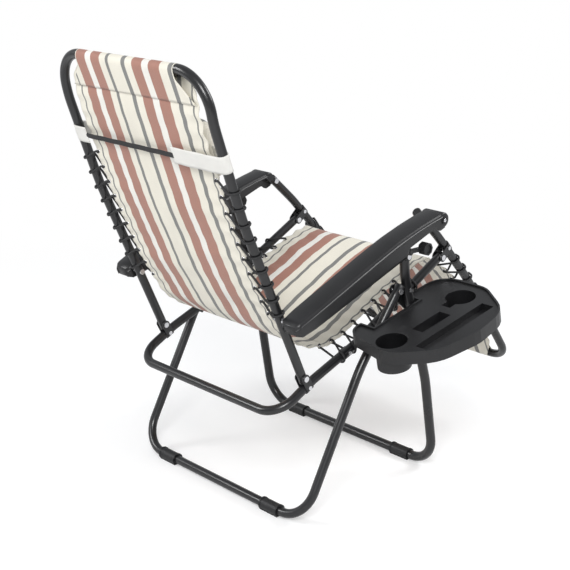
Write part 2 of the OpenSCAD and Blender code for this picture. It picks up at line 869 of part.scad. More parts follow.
// Open space under the shell, cut off by ribs where nothing slides
module arm_cavity() {
  y0 = arm_in + arm_wall;
  y1 = arm_out - arm_wall;
  difference() {
    slab(y0, y1)
      polygon([
        [cavity_u[0], -40], [cavity_u[1], -40], [cavity_u[1], rail_ceiling], [rail_u[0], rail_ceiling],
        [rail_u[0], arm_stations[4][1] - arm_wall], [cavity_u[0] + 20, arm_stations[2][1] - arm_wall],
        [cavity_u[0], arm_stations[2][1] - 2 * arm_wall],
      ]);
    for (u = [80, 150, 220, rail_u[0] - rib_t])
      translate([u, y0 - 1, -14])
        cube([rib_t, y1 - y0 + 2, 60]);
  }
}

module armrest(side) {
  bay_r = 6;
  color([0.13, 0.13, 0.14])
    on_side(side)
      difference() {
        arm_frame()
          difference() {
            union() {
              arm_loft(arm_stations);
              arm_nose();
            }
            arm_cavity();
            slab(arm_in - 1, arm_out + 1) {
              translate([bay_u[0] + bay_r, bay_v - 40]) square([bay_u[1] - bay_u[0] - 2 * bay_r, 40]);
              translate([bay_u[0], bay_v - 40]) square([bay_u[1] - bay_u[0], 40 - bay_r]);
              for (u = [bay_u[0] + bay_r, bay_u[1] - bay_r]) translate([u, bay_v - bay_r]) circle(bay_r);
            }
          }
        across(arm_rear_pivot, arm_in - 1, arm_in + arm_bore_depth, bore_r);
        across(arm_front_pivot, arm_in - 1, arm_in + stud_reach + 2, pin_r + front_play);
      }
}
module armrest_left() armrest(left);
module armrest_right() armrest(right);

rail_t = 1.6;
rail_half_w = 12;
rail_slot = 5;
rail_floor = -3;

module armrest_rail(side) {
  color("dimgray")
    on_side(side)
      arm_frame()
        difference() {
          translate([rail_u[0], leg_y - rail_half_w, rail_floor])
            cube([rail_u[1] - rail_u[0], 2 * rail_half_w, rail_ceiling - rail_floor]);
          translate([rail_u[0] - 1, leg_y - rail_half_w + rail_t, rail_floor + rail_t])
            cube([rail_u[1] - rail_u[0] + 2, 2 * (rail_half_w - rail_t), rail_ceiling - rail_floor - 2 * rail_t]);
          translate([rail_u[0] - 1, leg_y - rail_slot, rail_floor - 1])
            cube([rail_u[1] - rail_u[0] + 2, 2 * rail_slot, rail_t + 2]);
        }
}
module armrest_rail_left() armrest_rail(left);
module armrest_rail_right() armrest_rail(right);

module armrest_cap(side) {
  color("silver")
    on_side(side) {
      across(arm_front_pivot, arm_out, arm_out + 1.5, 9);
      across(arm_front_pivot, arm_out + 1, arm_out + 2.5, 6.5);
    }
}
module armrest_cap_left() armrest_cap(left);
module armrest_cap_right() armrest_cap(right);

// Slider in the rail, bridge over the leg end and two cheeks on the lock pin
bridge_v = -12;
bridge_t = 3;
hub_u = lock_u - 2;
hub_v = -20;
lever_y0 = cheek_out + cheek_t + cheek_gap + head_h + 0.6;
lever_t = 10;

module lock_carrier(side) {
  slider_gap = 0.6;
  slider_v = [0.2, 8.2];
  neck_half_w = 4;
  cheek_half_len = 8;
  y0 = cheek_in - cheek_t;
  y1 = cheek_out + cheek_t;
  color("dimgray")
    on_side(side)
      difference() {
        union() {
          arm_frame() {
            translate([lock_u - 28, leg_y - rail_half_w + rail_t + slider_gap, slider_v[0]])
              cube([31, 2 * (rail_half_w - rail_t - slider_gap), slider_v[1] - slider_v[0]]);
            translate([lock_u - cheek_half_len, leg_y - neck_half_w, bridge_v])
              cube([cheek_half_len + 3, 2 * neck_half_w, slider_v[0] - bridge_v + 1]);
            translate([lock_u - cheek_half_len, y0, bridge_v])
              cube([2 * cheek_half_len, y1 - y0, bridge_t]);
            for (y = [y0, cheek_out])
              translate([lock_u - cheek_half_len, y, lock_v])
                cube([2 * cheek_half_len, cheek_t, bridge_v + bridge_t - lock_v]);
            across([hub_u, hub_v], y1 - 1, lever_y0 + lever_t + 1, pin_r);
            across([hub_u, hub_v], y1 - 1, lever_y0 - 0.3, head_r - 0.5);
          }
          across(lock_pivot, y0, y0 + cheek_t, 11);
          across(lock_pivot, cheek_out, y1, 11);
        }
        across(lock_pivot, y0 - 1, y0 + cheek_t + 1, bore_r);
        across(lock_pivot, cheek_out - 1, y1 + cheek_gap, bore_r);
        across(lock_pivot, y1, y1 + head_h + 1, head_r + 0.5);
      }
}
module lock_carrier_left() lock_carrier(left);
module lock_carrier_right() lock_carrier(right);

module lock_lever(side) {
  grip = [lock_u + 45, -37.5];
  grip_r = 16;
  grip_t = 20;
  color([0.1, 0.1, 0.1])
    on_side(side)
      arm_frame()
        difference() {
          union() {
            across([hub_u, hub_v], lever_y0, lever_y0 + lever_t, 8.5);
            slab(lever_y0, lever_y0 + lever_t) link([hub_u, hub_v], grip, 4.5);
            slab(lever_y0, lever_y0 + grip_t)
              translate(grip)
                rotate(22.5 + 8)
                  circle(grip_r, $fn = 8);
          }
          across([hub_u, hub_v], lever_y0 - 1, lever_y0 + lever_t + 2, bore_r);
          across(grip, lever_y0 + grip_t - 3, lever_y0 + grip_t + 1, grip_r - 5);
        }
}
module lock_lever_left() lock_lever(left);
module lock_lever_right() lock_lever(right);

// ---------------------------------------------------------------- tray

// Frame of the tray: x along its top, nose up, z out of it
module tray_frame() {
  translate([tray_origin.x, 0, tray_origin.y])
    rotate([0, -tray_tilt, 0])
      children();
}
tray_circles = [
  [41, -413, 70], [32, -321, 42], [91, -433, 98], [159, -444, 100], [206, -438, 100], [266, -403, 70],
  [278, -338, 58],
];
cups = [[20.6, -397], [269.6, -396]];
phone_slot = [[88, -434], [99, 34]];
long_slot = [[30, -495], [240, 34]];
mug_slot = [[214, -409], [56, 26]];
notch_x = [44, 205.6];
notch_y = -321.5;

module tray_outline(inset) {
  difference() {
    hull()
      for (c = tray_circles)
        translate([c[0], c[1]]) circle(c[2] - inset);
    translate([notch_x[0] - inset, notch_y - inset])
      square([notch_x[1] - notch_x[0] + 2 * inset, 100]);
  }
}

// Box with round ends in plan, from its corner and size, grown by g
module pocket(box, g) {
  translate([box[0].x - g, box[0].y - g])
    square([box[1].x + 2 * g, box[1].y + 2 * g]);
}

module side_tray() {
  phone_depth = 24;
  long_depth = 16;
  mug_depth = 40;
  color([0.12, 0.12, 0.13])
    tray_frame()
      difference() {
        union() {
          difference() {
            translate([0, 0, -tray_skirt]) linear_extrude(tray_skirt + tray_rim) tray_outline(0);
            translate([0, 0, -tray_skirt - 1]) linear_extrude(tray_skirt + 1 - tray_wall) tray_outline(tray_wall);
            linear_extrude(tray_rim + 1) tray_outline(tray_rim + 1);
          }
          for (c = cups)
            translate([c.x, c.y, -cup_depth - tray_wall])
              cylinder(r = cup_r + tray_wall, h = cup_depth + tray_wall);
          translate([0, 0, -mug_depth - tray_wall])
            linear_extrude(mug_depth + tray_wall) pocket(mug_slot, tray_wall);
          translate([0, 0, -phone_depth - tray_wall])
            linear_extrude(phone_depth + tray_wall) pocket(phone_slot, tray_wall);
          translate([0, 0, -long_depth - tray_wall])
            linear_extrude(long_depth + tray_wall) pocket(long_slot, tray_wall);
        }
        for (c = cups)
          translate([c.x, c.y, -cup_depth])
            cylinder(r = cup_r, h = cup_depth + tray_rim + 1);
        translate([0, 0, -mug_depth]) linear_extrude(mug_depth + 1) pocket(mug_slot, 0);
        translate([0, 0, -phone_depth]) linear_extrude(phone_depth + 1) pocket(phone_slot, 0);
        translate([0, 0, -long_depth]) linear_extrude(long_depth + 1) pocket(long_slot, 0);
      }
}

front_leg_frame();
front_leg_caps();
front_foot_left();
front_foot_right();
leg_plate_left();
leg_plate_right();
leg_plate_rivets();
leg_pivot_rivets();
seat_pivot_rivets();
seat_pivot_spacers();
lock_pivot_rivets();
rear_leg_frame();
rear_leg_caps();
rear_foot_left();
rear_foot_right();
seat_frame();
seat_end_caps();
back_bracket_left();
back_bracket_right();
bracket_rivets();
rail_clips();
rail_clip_rivets();
back_pivot_rivets();
foot_pivot_rivets();
sling_seat();
seat_lacing_left();
seat_lacing_right();
back_frame();
back_end_caps();
armrest_rear_rivets();
sling_back();
back_lacing_left();
back_lacing_right();
headrest_pillow();
headrest_tab_left();
headrest_tab_right();
headrest_elastic();
footrest_frame();
foot_end_caps();
foot_bracket_left();
foot_bracket_right();
foot_bracket_rivets();
armrest_front_studs();
sling_foot();
foot_lacing_left();
foot_lacing_right();
armrest_left();
armrest_right();
armrest_rail_left();
armrest_rail_right();
armrest_cap_left();
armrest_cap_right();
lock_carrier_left();
lock_carrier_right();
lock_lever_left();
lock_lever_right();
side_tray();
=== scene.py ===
import math

import bmesh
import bpy
import numpy as np
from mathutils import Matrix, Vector


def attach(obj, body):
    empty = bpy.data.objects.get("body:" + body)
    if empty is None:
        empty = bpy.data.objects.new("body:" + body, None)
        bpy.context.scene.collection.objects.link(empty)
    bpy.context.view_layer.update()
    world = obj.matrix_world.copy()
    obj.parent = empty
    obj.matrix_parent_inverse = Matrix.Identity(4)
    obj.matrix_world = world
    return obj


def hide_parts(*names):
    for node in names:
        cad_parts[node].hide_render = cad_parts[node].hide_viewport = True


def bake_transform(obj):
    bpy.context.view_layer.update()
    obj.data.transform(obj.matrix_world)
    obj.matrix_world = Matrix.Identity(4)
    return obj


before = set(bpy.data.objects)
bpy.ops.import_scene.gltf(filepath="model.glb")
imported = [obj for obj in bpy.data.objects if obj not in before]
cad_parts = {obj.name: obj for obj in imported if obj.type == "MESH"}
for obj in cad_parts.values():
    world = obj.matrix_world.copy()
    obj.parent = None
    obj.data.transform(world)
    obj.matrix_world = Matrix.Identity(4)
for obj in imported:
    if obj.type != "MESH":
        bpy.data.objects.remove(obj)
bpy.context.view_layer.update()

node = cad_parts

# ---- Camera, floor and studio light --------------------------------------------------------------
# The camera stands behind the chair, to the sitter's right, a little over the top of the armrests,
# and looks down a few degrees. The lamps are broad and soft, on a plain pale floor.
bpy.context.scene.view_settings.view_transform = "Standard"
eye = Vector((-1.814, -2.183, 1.408))
yaw, pitch = 0.819, -0.302
camera = bpy.data.objects.new("camera", bpy.data.cameras.new("camera"))
camera.location = eye
camera.rotation_euler = (math.pi / 2 + pitch, 0, yaw - math.pi / 2)
camera.data.lens = 78.66
camera.data.sensor_width = 36
camera.data.clip_end = 60
bpy.context.scene.collection.objects.link(camera)
bpy.context.scene.camera = camera


def pale_ground(name, colour, far):
    """A matt colour with its shadows; the camera sees it a little brighter. It fades to plain white
    between fade_start x far and far from the middle, so that it has no horizon."""
    fade_start, glow_grey = 0.35, (0.26, 0.26, 0.26)
    m = bpy.data.materials.new(name)
    m.use_nodes = True
    tree = m.node_tree
    make, link = tree.nodes.new, tree.links.new
    bsdf = tree.nodes["Principled BSDF"]
    bsdf.inputs["Base Color"].default_value = (*colour, 1)
    bsdf.inputs["Roughness"].default_value = 0.95
    bsdf.inputs["Specular IOR Level"].default_value = 0.1
    glow, add = make("ShaderNodeEmission"), make("ShaderNodeAddShader")
    white = make("ShaderNodeEmission")
    glow.inputs["Color"].default_value = (*glow_grey, 1)
    white.inputs["Color"].default_value = (1, 1, 1, 1)
    link(bsdf.outputs["BSDF"], add.inputs[0])
    link(glow.outputs["Emission"], add.inputs[1])
    where, distance = make("ShaderNodeTexCoord"), make("ShaderNodeVectorMath")
    fade = make("ShaderNodeMapRange")
    distance.operation = "LENGTH"
    fade.inputs["From Min"].default_value = far * fade_start
    fade.inputs["From Max"].default_value = far
    fade.interpolation_type = "SMOOTHSTEP"
    link(where.outputs["Object"], distance.inputs["Vector"])
    link(distance.outputs["Value"], fade.inputs["Value"])
    seen, last = make("ShaderNodeMixShader"), make("ShaderNodeMixShader")
    path = make("ShaderNodeLightPath")
    link(fade.outputs["Result"], seen.inputs["Fac"])
    link(add.outputs["Shader"], seen.inputs[1])
    link(white.outputs["Emission"], seen.inputs[2])
    link(path.outputs["Is Camera Ray"], last.inputs["Fac"])
    link(bsdf.outputs["BSDF"], last.inputs[1])
    link(seen.outputs["Shader"], last.inputs[2])
    link(last.outputs["Shader"], tree.nodes["Material Output"].inputs["Surface"])
    return m


floor_half = 12
floor_grey = (0.80, 0.80, 0.80)
white_from = 2.6
floor_mesh = bpy.data.meshes.new("floor")
floor_mesh.from_pydata(
    [(-floor_half, -floor_half, 0), (floor_half, -floor_half, 0), (floor_half, floor_half, 0),
     (-floor_half, floor_half, 0)],
    [], [(0, 1, 2, 3)])
floor_mesh.materials.append(pale_ground("floor", floor_grey, white_from))
floor = bpy.data.objects.new("floor", floor_mesh)
bpy.context.scene.collection.objects.link(floor)

render_world = bpy.data.worlds.new("studio")
bpy.context.scene.world = render_world
render_world.use_nodes = True
sky = render_world.node_tree.nodes["Background"]
sky.inputs["Color"].default_value = (0.95, 0.97, 1.0, 1)
sky.inputs["Strength"].default_value = 0.52
backdrop = render_world.node_tree.nodes.new("ShaderNodeBackground")
backdrop.inputs["Color"].default_value = (1, 1, 1, 1)
ray = render_world.node_tree.nodes.new("ShaderNodeLightPath")
mix = render_world.node_tree.nodes.new("ShaderNodeMixShader")
wired = render_world.node_tree.links.new
wired(ray.outputs["Is Camera Ray"], mix.inputs["Fac"])
wired(sky.outputs["Background"], mix.inputs[1])
wired(backdrop.outputs["Background"], mix.inputs[2])
wired(mix.outputs["Shader"], render_world.node_tree.nodes["World Output"].inputs["Surface"])

lamps_face = Vector((0.25, 0, 0.5))
for name, place, size, power in (
    ("key", (-2.6, -2.6, 3.0), 1.6, 120),
    ("fill", (-2.6, 2.4, 2.4), 1.2, 52),
    ("front", (2.8, -1.6, 2.8), 1.6, 62),
):
    lamp = bpy.data.lights.new(name, "AREA")
    lamp.size = size
    lamp.energy = power
    stand = bpy.data.objects.new(name, lamp)
    stand.location = place
    stand.rotation_euler = (lamps_face - Vector(place)).to_track_quat("-Z", "Y").to_euler()
    bpy.context.scene.collection.objects.link(stand)


# ---- Bent tubes of the five frames ---------------------------------------------------------------
# Round steel tube, bent cold into U shapes and powder coated black. Each frame is one length: down one
# side, across the floor, foot or head end, and up the other side.
def mesh_piece(name, points, faces):
    """A smooth mesh object in the chair's frame, from its points in metres and its faces."""
    mesh = bpy.data.meshes.new(name)
    mesh.from_pydata(np.asarray(points, float).reshape(-1, 3).tolist(), [], [list(f) for f in faces])
    mesh.validate()
    mesh.polygons.foreach_set("use_smooth", np.full(len(mesh.polygons), True))
    mesh.update()
    piece = bpy.data.objects.new(name, mesh)
    bpy.context.scene.collection.objects.link(piece)
    return piece


def grid_faces(rows, cols, wrap_cols=False, wrap_rows=False):
    """Quads between neighbours of a rows by cols grid; either direction may close on itself."""
    r = np.arange(rows if wrap_rows else rows - 1)
    c = np.arange(cols if wrap_cols else cols - 1)
    r, c = np.meshgrid(r, c, indexing="ij")
    r2, c2 = (r + 1) % rows, (c + 1) % cols
    quads = np.stack([r * cols + c, r * cols + c2, r2 * cols + c2, r2 * cols + c], axis=-1)
    return quads.reshape(-1, 4)


def closed_faces(rows, cols):
    """Faces of a skin whose sections close on themselves, with one flat face at each end."""
    faces = [tuple(q) for q in grid_faces(rows, cols, wrap_cols=True)]
    return faces + [tuple(range(cols - 1, -1, -1)), tuple(range((rows - 1) * cols, rows * cols))]


def mm(points):
    """Points in millimetres as an array in metres."""
    return np.array(points, float) / 1000


def unit(v):
    """Vectors divided by their lengths."""
    return v / np.linalg.norm(v, axis=-1, keepdims=True)


def rounded_line(points, radii, arc_step=0.06, straight_step=0.03):
    """A polyline whose inner corners are arcs of the given radii, as closely spaced points. An arc
    starts radius x tan(half the turn) before its corner."""
    points = [np.asarray(p, float) for p in points]
    out = [points[0][None]]
    for a, p, b, radius in zip(points[:-2], points[1:-1], points[2:], radii):
        d1, d2 = unit(p - a), unit(b - p)
        turn = math.acos(np.clip(d1 @ d2, -1, 1))
        cut = radius * math.tan(turn / 2)
        inward = unit(d2 - (d1 @ d2) * d1)
        centre = p - cut * d1 + radius * inward
        t = np.linspace(0, turn, max(3, int(turn / arc_step) + 2))[:, None]
        start = out[-1][-1]
        gap = np.linalg.norm(p - cut * d1 - start)
        s = np.linspace(0, 1, int(gap / straight_step) + 2)[1:-1, None]
        out.append(start + (p - cut * d1 - start) * s)
        out.append(centre - radius * inward * np.cos(t) + radius * d1 * np.sin(t))
    gap = np.linalg.norm(points[-1] - out[-1][-1])
    s = np.linspace(0, 1, int(gap / straight_step) + 2)[1:, None]
    out.append(out[-1][-1] + (points[-1] - out[-1][-1]) * s)
    return np.concatenate(out)


def tangents(path):
    """Unit directions along a path, from the differences of neighbouring points."""
    return unit(np.gradient(path, axis=0))


def u_frame(name, side, bend_radii, half_width, corner, radius, body, cad_node):
    """A circle of the tube's radius carried along the U: down the side's line, across and back up.
    Two rings that narrow to a point close each end with a low dome."""
    right = [(x / 1000, -half_width, z / 1000) for x, z in side]
    left = [(x / 1000, half_width, z / 1000) for x, z in reversed(side)]
    bends = [r / 1000 for r in bend_radii]
    path = rounded_line(right + left, bends + [corner, corner] + bends[::-1])
    t = tangents(path)
    flat = np.cross(unit(np.array(right[-1]) - np.array(right[-2])), (0, 1, 0))
    side_normal = unit(np.cross(t, (0, 1, 0)) + 1e-9) * -np.sign(path[:, 1:2])
    across = np.abs(t[:, 1:2]) > 1e-3
    n = unit(np.where(across, flat, side_normal))
    n = unit(n - (n * t).sum(1, keepdims=True) * t)
    b = np.cross(t, n)
    sides = 28
    a = np.linspace(0, 2 * np.pi, sides, endpoint=False)
    ring = np.cos(a)[None, :, None] * n[:, None] + np.sin(a)[None, :, None] * b[:, None]
    points = path[:, None] + radius * ring
    dome_r = radius * np.array([0.93, 0.7, 0.02])
    dome_rise = radius * 0.12 * np.array([0.45, 0.85, 1.0])
    start = path[0] - dome_rise[::-1, None, None] * t[0] + dome_r[::-1, None, None] * ring[0]
    end = path[-1] + dome_rise[:, None, None] * t[-1] + dome_r[:, None, None] * ring[-1]
    points = np.concatenate([start, points, end])
    piece = outward(mesh_piece(name, points, closed_faces(len(points), sides)))
    piece.data.materials.append(powder_coat)
    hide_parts(cad_node)
    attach(piece, body)


def outward(piece):
    """Turns a closed mesh's faces outward: they agree first, and flip if its volume is negative."""
    bm = bmesh.new()
    bm.from_mesh(piece.data)
    bmesh.ops.recalc_face_normals(bm, faces=bm.faces)
    if bm.calc_volume(signed=True) < 0:
        bmesh.ops.reverse_faces(bm, faces=bm.faces)
    bm.to_mesh(piece.data)
    bm.free()
    return piece


def wire(tree, a, out, b, socket):
    """Joins output out of node a to input socket of node b."""
    tree.links.new(a.outputs[out], b.inputs[socket])


def finish_of(name, colour, roughness, spread, bump_scale, bump, coat=0.0, metallic=0.0, tint=0.25):
    """Principled finish: broad noise varies its shade by tint and its roughness by spread, and fine
    noise lifts it by bump."""
    m = bpy.data.materials.new(name)
    m.use_nodes = True
    tree = m.node_tree
    bsdf = tree.nodes["Principled BSDF"]
    where = tree.nodes.new("ShaderNodeTexCoord")
    broad = tree.nodes.new("ShaderNodeTexNoise")
    broad.inputs["Scale"].default_value = 9
    broad.inputs["Detail"].default_value = 6
    fine = tree.nodes.new("ShaderNodeTexNoise")
    fine.inputs["Scale"].default_value = bump_scale
    fine.inputs["Detail"].default_value = 3
    for n in (broad, fine):
        wire(tree, where, "Object", n, "Vector")
    shade = tree.nodes.new("ShaderNodeValToRGB")
    shade.color_ramp.elements[0].position = 0.35
    shade.color_ramp.elements[1].position = 0.65
    shade.color_ramp.elements[0].color = (*[c * (1 - tint) for c in colour], 1)
    shade.color_ramp.elements[1].color = (*[min(1, c * (1 + tint)) for c in colour], 1)
    wire(tree, broad, "Fac", shade, "Fac")
    wire(tree, shade, "Color", bsdf, "Base Color")
    rough = tree.nodes.new("ShaderNodeMapRange")
    rough.inputs["To Min"].default_value = max(0.02, roughness - spread)
    rough.inputs["To Max"].default_value = min(1, roughness + spread)
    wire(tree, broad, "Fac", rough, "Value")
    wire(tree, rough, "Result", bsdf, "Roughness")
    lift = tree.nodes.new("ShaderNodeBump")
    lift.inputs["Strength"].default_value = 0.35
    lift.inputs["Distance"].default_value = bump
    wire(tree, fine, "Fac", lift, "Height")
    wire(tree, lift, "Normal", bsdf, "Normal")
    bsdf.inputs["Metallic"].default_value = metallic
    bsdf.inputs["Coat Weight"].default_value = coat
    bsdf.inputs["Coat Roughness"].default_value = 0.12
    return m


powder_coat = finish_of("powder_coat", (0.010, 0.010, 0.011), 0.30, 0.07, 900, 0.00015, coat=0.25)

leg_y, rail_y = 0.305, 0.260
leg_corner, seat_corner, back_corner = 0.075, 0.060, 0.085
front_leg_r, tube_r = 0.012, 0.011
# Centre lines of the tubes in side view, as (x, z) in millimetres from their tops to the cross bars;
# the bend radii below are in millimetres too.
front_leg_side = [(326.9, 608), (333, 545), (421, 258), (464, 13.5)]
rear_leg_side = [(315.4, 526.2), (180, 345), (0, 13.5)]
seat_side = [(518.1, 553.8), (215, 393), (70, 338), (-42, 280)]
back_side = [(42.0, 343.8), (-138, 752), (-213, 967), (-237, 1075)]
foot_side = [(420.6, 679.8), (500, 607), (629, 466), (822, 200)]
for name, side, bend_radii, half_width, corner, radius, body, cad_node in (
    ("front_leg_tube", front_leg_side, [120, 300], leg_y, leg_corner, front_leg_r, "leg_frame",
     "front_leg_frame"),
    ("rear_leg_tube", rear_leg_side, [300], leg_y, leg_corner, tube_r, "rear_legs", "rear_leg_frame"),
    ("seat_tube", seat_side, [200, 200], rail_y, seat_corner, tube_r, "seat", "seat_frame"),
    ("back_tube", back_side, [600, 250], rail_y, back_corner, tube_r, "back", "back_frame"),
    ("footrest_tube", foot_side, [400, 500], rail_y, seat_corner, tube_r, "footrest", "footrest_frame"),
):
    u_frame(name, side, bend_radii, half_width, corner, radius, body, cad_node)


# ---- Sheet steel, rivets, plugs and feet ---------------------------------------------------------
# Pressed brackets and plates are painted black like the tubes; the rivets are bright zinc. Plugs, feet
# and levers are moulded in black, and the seat bushes in natural nylon.
def dress(names, material):
    """Gives each named solid one material."""
    for n in names:
        mesh = node[n].data
        mesh.materials.clear()
        mesh.materials.append(material)


painted_sheet = finish_of("painted_sheet", (0.012, 0.012, 0.013), 0.36, 0.08, 700, 0.0002, coat=0.15)
zinc = finish_of("zinc_plate", (0.72, 0.72, 0.74), 0.24, 0.08, 1400, 0.0002, metallic=1.0, tint=0.08)
moulded_black = finish_of("moulded_black", (0.010, 0.010, 0.011), 0.48, 0.08, 1100, 0.0004)
nylon = finish_of("nylon", (0.78, 0.77, 0.73), 0.40, 0.08, 600, 0.0002, tint=0.05)
for n in node:
    if n.endswith(("rivets", "studs")):
        dress([n], zinc)
    elif "bracket" in n or n.startswith(("leg_plate", "rail_clips", "armrest_rail", "lock_carrier")):
        dress([n], painted_sheet)
    elif n.endswith("caps") or n.startswith(("front_foot", "rear_foot", "lock_lever", "armrest_cap")):
        dress([n], moulded_black)
dress(["seat_pivot_spacers"], nylon)

# ---- Sling ---------------------------------------------------------------------------------------
# Woven, plastic coated yarn cloth with lengthways stripes, sleeved over the head bar and the foot bar,
# and drawn flat by the lacing between them. It is one length, made as two sheets that meet across the
# middle of the seat.
sling_half = 0.222
cloth_t, cloth_step = 0.0014, 0.006
hem_gap = 0.0022
# The sleeves' arc round their bars, and the degrees between which it runs.
sleeve_r, sleeve_from, sleeve_to = 0.0125, -12, 192
eyelet_y, eyelet_pitch = 0.213, 0.04
# Side view of the cloth in three panels, as (x, z) in millimetres from the head down to the feet.
back_cloth = [back_side[2], back_side[1], (-60, 575), (-6, 484)]
seat_cloth = [(12, 456), (48, 425), (100, 400), (156, 390), (210, 405), (300, 454), (417, 509),
              (480, 532), (507, 538)]
foot_cloth = [(526, 534), (560, 515), (629, 455), (700, 370), (790, 243)]


def sleeve(bar, stitch):
    """Side view of cloth that leaves its stitch line, goes round a bar and comes back on itself:
    bar + radius x (side cos a + axis sin a)."""
    bar, stitch = mm(bar), mm(stitch)
    axis = unit(bar - stitch)
    side = np.array([axis[1], -axis[0]])
    a = np.radians(np.linspace(sleeve_from, sleeve_to, 15))[:, None]
    round_bar = bar + sleeve_r * (side * np.cos(a) + axis * np.sin(a))
    back = stitch - side * hem_gap
    return round_bar, back


def even(points, step):
    """The same line with its points a step apart along it, and their distances from its start."""
    s = np.concatenate([[0], np.cumsum(np.linalg.norm(np.diff(points, axis=0), axis=1))])
    at = np.linspace(0, s[-1], max(2, int(round(s[-1] / step)) + 1))
    return np.stack([np.interp(at, s, points[:, k]) for k in range(points.shape[1])], axis=1), at


def softened(points, reach):
    """A line smoothed by a bell-shaped average of each point and reach neighbours on either side."""
    k = np.hanning(2 * reach + 3)[1:-1]
    k /= k.sum()
    pad = np.concatenate([
        2 * points[:1] - points[reach:0:-1], points, 2 * points[-1:] - points[-2:-reach - 2:-1]])
    return np.stack([np.convolve(pad[:, i], k, "valid") for i in range(points.shape[1])], axis=1)


stripe_cream = (0.84, 0.80, 0.69)
stripe_white = (0.87, 0.85, 0.79)
stripe_grey = (0.21, 0.21, 0.20)
stripe_terracotta = (0.40, 0.19, 0.14)
# Each stripe starts at this share of the sling's width, counted from its left edge.
stripes = [
    (0.0, stripe_cream), (0.052, stripe_grey), (0.066, stripe_cream), (0.11, stripe_terracotta),
    (0.19, stripe_white), (0.235, stripe_terracotta), (0.31, stripe_cream), (0.36, stripe_grey),
    (0.385, stripe_cream), (0.49, stripe_grey), (0.52, stripe_cream), (0.575, stripe_terracotta),
    (0.655, stripe_white), (0.705, stripe_terracotta), (0.79, stripe_cream), (0.855, stripe_grey),
    (0.885, stripe_cream), (0.955, stripe_grey), (0.967, stripe_cream),
]


def striped_cloth(name):
    """Woven cloth: stripes across the piece's own map, times a weave of small cells and a broad
    unevenness; the weave lifts the surface too."""
    m = bpy.data.materials.new(name)
    m.use_nodes = True
    tree = m.node_tree
    bsdf = tree.nodes["Principled BSDF"]
    uv = tree.nodes.new("ShaderNodeUVMap")
    uv.uv_map = "cloth"
    split = tree.nodes.new("ShaderNodeSeparateXYZ")
    wire(tree, uv, "UV", split, "Vector")
    ramp = tree.nodes.new("ShaderNodeValToRGB")
    ramp.color_ramp.interpolation = "CONSTANT"
    marks = ramp.color_ramp.elements
    marks[0].color = (*stripe_cream, 1)
    marks.remove(marks[1])
    for place, colour in stripes[1:]:
        marks.new(place).color = (*colour, 1)
    wire(tree, split, "X", ramp, "Fac")
    weave = tree.nodes.new("ShaderNodeTexVoronoi")
    weave.inputs["Scale"].default_value = 620
    weave.inputs["Randomness"].default_value = 0.15
    thread = tree.nodes.new("ShaderNodeMapping")
    thread.inputs["Scale"].default_value = (2 * sling_half, 1, 1)
    wire(tree, uv, "UV", thread, "Vector")
    wire(tree, thread, "Vector", weave, "Vector")
    dim = tree.nodes.new("ShaderNodeMapRange")
    dim.inputs["From Max"].default_value = 0.7
    dim.inputs["To Min"].default_value = 1.04
    dim.inputs["To Max"].default_value = 0.80
    wire(tree, weave, "Distance", dim, "Value")
    broad = tree.nodes.new("ShaderNodeTexNoise")
    broad.inputs["Scale"].default_value = 14
    broad.inputs["Detail"].default_value = 5
    where = tree.nodes.new("ShaderNodeTexCoord")
    wire(tree, where, "Object", broad, "Vector")
    soil = tree.nodes.new("ShaderNodeMapRange")
    soil.inputs["To Min"].default_value = 0.90
    soil.inputs["To Max"].default_value = 1.06
    wire(tree, broad, "Fac", soil, "Value")
    both = tree.nodes.new("ShaderNodeMath")
    both.operation = "MULTIPLY"
    wire(tree, dim, "Result", both, 0)
    wire(tree, soil, "Result", both, 1)
    tone = tree.nodes.new("ShaderNodeVectorMath")
    tone.operation = "SCALE"
    wire(tree, ramp, "Color", tone, "Vector")
    wire(tree, both, "Value", tone, "Scale")
    wire(tree, tone, "Vector", bsdf, "Base Color")
    lift = tree.nodes.new("ShaderNodeBump")
    lift.inputs["Strength"].default_value = 0.5
    lift.inputs["Distance"].default_value = 0.0006
    lift.invert = True
    wire(tree, weave, "Distance", lift, "Height")
    wire(tree, lift, "Normal", bsdf, "Normal")
    bsdf.inputs["Roughness"].default_value = 0.62
    bsdf.inputs["Sheen Weight"].default_value = 0.15
    return m


sling_cloth = striped_cloth("sling_cloth")


